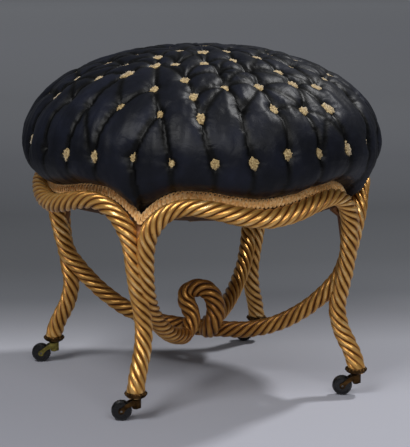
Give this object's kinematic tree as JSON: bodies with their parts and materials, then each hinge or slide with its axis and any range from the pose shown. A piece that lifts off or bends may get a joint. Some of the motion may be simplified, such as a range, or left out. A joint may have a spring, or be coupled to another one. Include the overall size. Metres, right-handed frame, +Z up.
{
  "type": "stool",
  "caption": "Round upholstered stool with a deep-buttoned dome cushion on rope-carved legs, waved rope rails and a knotted cross stretcher, standing on swivel casters.",
  "frame": {"origin": "centre of the bounding box's underside, on the floor between the four casters", "axes": "+Z up, front towards -Y, +X to the right seen from the front"},
  "size_m": [0.4942, 0.4952, 0.4775],
  "materials": {
    "gilt_wood": "satin",
    "beech": "matte",
    "jute": "matte",
    "spring_steel": "satin",
    "hair_stuffing": "matte",
    "satin": "satin",
    "silk": "satin",
    "gimp_braid": "matte",
    "caster_brass": "satin",
    "axle_steel": "satin",
    "wheel_black": "gloss"
  },
  "bodies": {
    "frame": {"leg_front_left": "gilt_wood", "leg_front_right": "gilt_wood", "leg_back_right": "gilt_wood", "leg_back_left": "gilt_wood", "rope_rail_front": "gilt_wood", "rope_rail_right": "gilt_wood", "rope_rail_back": "gilt_wood", "rope_rail_left": "gilt_wood", "stretcher_arm_front_left": "gilt_wood", "stretcher_arm_front_right": "gilt_wood", "stretcher_arm_back_right": "gilt_wood", "stretcher_arm_back_left": "gilt_wood", "stretcher_knot": "gilt_wood", "seat_rail_front": "beech", "seat_rail_right": "beech", "seat_rail_back": "beech", "seat_rail_left": "beech", "brace_front_left": "beech", "brace_front_right": "beech", "brace_back_right": "beech", "brace_back_left": "beech", "webbing_across": "jute", "webbing_along": "jute", "springs": "spring_steel", "hessian": "jute", "hair_pad": "hair_stuffing", "cushion_cover": "satin", "buttons_top": "silk", "buttons_side": "silk", "gimp_front": "gimp_braid", "gimp_right": "gimp_braid", "gimp_back": "gimp_braid", "gimp_left": "gimp_braid", "caster_cup_front_left": "caster_brass", "caster_cup_front_right": "caster_brass", "caster_cup_back_right": "caster_brass", "caster_cup_back_left": "caster_brass"},
    "swivel_front_left": {"caster_fork_front_left": "caster_brass", "caster_axle_front_left": "axle_steel"},
    "wheel_front_left": {"caster_wheel_front_left": "wheel_black"},
    "swivel_front_right": {"caster_fork_front_right": "caster_brass", "caster_axle_front_right": "axle_steel"},
    "wheel_front_right": {"caster_wheel_front_right": "wheel_black"},
    "swivel_back_right": {"caster_fork_back_right": "caster_brass", "caster_axle_back_right": "axle_steel"},
    "wheel_back_right": {"caster_wheel_back_right": "wheel_black"},
    "swivel_back_left": {"caster_fork_back_left": "caster_brass", "caster_axle_back_left": "axle_steel"},
    "wheel_back_left": {"caster_wheel_back_left": "wheel_black"}
  },
  "joints": [
    {"name": "swivel_front_left", "type": "hinge", "parent": "frame", "child": "swivel_front_left", "pos_m": [-0.16476, -0.16476, 0.0235], "axis": [0, 0, 1], "continuous": true},
    {"name": "roll_front_left", "type": "hinge", "parent": "swivel_front_left", "child": "wheel_front_left", "pos_m": [-0.18219, -0.15721, 0.014], "axis": [-0.3971, -0.9178, 0], "continuous": true},
    {"name": "swivel_front_right", "type": "hinge", "parent": "frame", "child": "swivel_front_right", "pos_m": [0.16476, -0.16476, 0.0235], "axis": [0, 0, 1], "continuous": true},
    {"name": "roll_front_right", "type": "hinge", "parent": "swivel_front_right", "child": "wheel_front_right", "pos_m": [0.14732, -0.15721, 0.014], "axis": [-0.3971, -0.9178, 0], "continuous": true},
    {"name": "swivel_back_right", "type": "hinge", "parent": "frame", "child": "swivel_back_right", "pos_m": [0.16476, 0.16476, 0.0235], "axis": [0, 0, 1], "continuous": true},
    {"name": "roll_back_right", "type": "hinge", "parent": "swivel_back_right", "child": "wheel_back_right", "pos_m": [0.14732, 0.1723, 0.014], "axis": [-0.3971, -0.9178, 0], "continuous": true},
    {"name": "swivel_back_left", "type": "hinge", "parent": "frame", "child": "swivel_back_left", "pos_m": [-0.16476, 0.16476, 0.0235], "axis": [0, 0, 1], "continuous": true},
    {"name": "roll_back_left", "type": "hinge", "parent": "swivel_back_left", "child": "wheel_back_left", "pos_m": [-0.18219, 0.1723, 0.014], "axis": [-0.3971, -0.9178, 0], "continuous": true}
  ]
}
